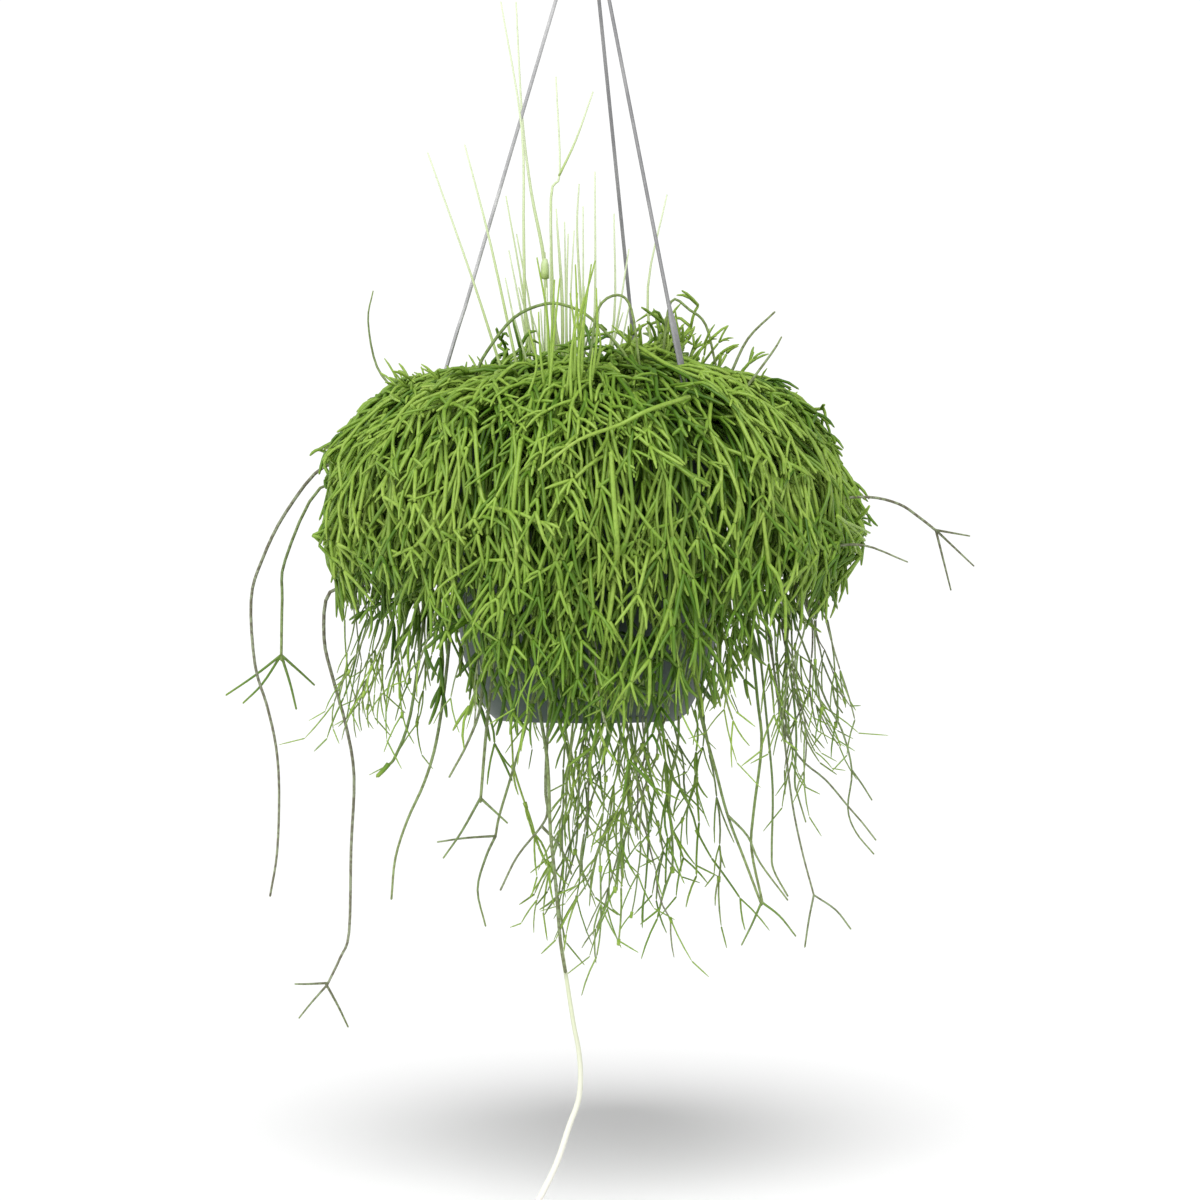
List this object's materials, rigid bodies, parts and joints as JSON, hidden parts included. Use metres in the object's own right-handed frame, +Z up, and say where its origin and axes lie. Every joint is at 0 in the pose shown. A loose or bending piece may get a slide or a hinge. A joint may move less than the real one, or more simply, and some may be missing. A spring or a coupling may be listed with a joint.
{
  "type": "hanging mistletoe cactus",
  "caption": "Bushy mistletoe cactus in a dark hanging pot: thin forked green stems arch over the rim and trail far below, under a hook and hanger strands.",
  "frame": {"origin": "the seat of the hook, the highest point inside its bend, where it touches the rail that carries it", "axes": "+Z up along the hanger, +X to the right of the picture, +Y away from its camera"},
  "size_m": [0.4339, 0.3104, 0.7907],
  "materials": {
    "hanger_plastic": "satin",
    "pot_plastic": "satin",
    "soil": "matte",
    "stem_green": "satin",
    "pale_shoot": "satin"
  },
  "bodies": {
    "root": {"hook": "hanger_plastic", "hanger_strand_left": "hanger_plastic", "hanger_strand_right": "hanger_plastic", "hanger_strand_back": "hanger_plastic", "pot": "pot_plastic", "soil": "soil", "stems_front": "stem_green", "stems_right": "stem_green", "stems_back_right": "stem_green", "stems_back": "stem_green", "stems_left": "stem_green", "upright_shoots": "pale_shoot"}
  },
  "joints": []
}
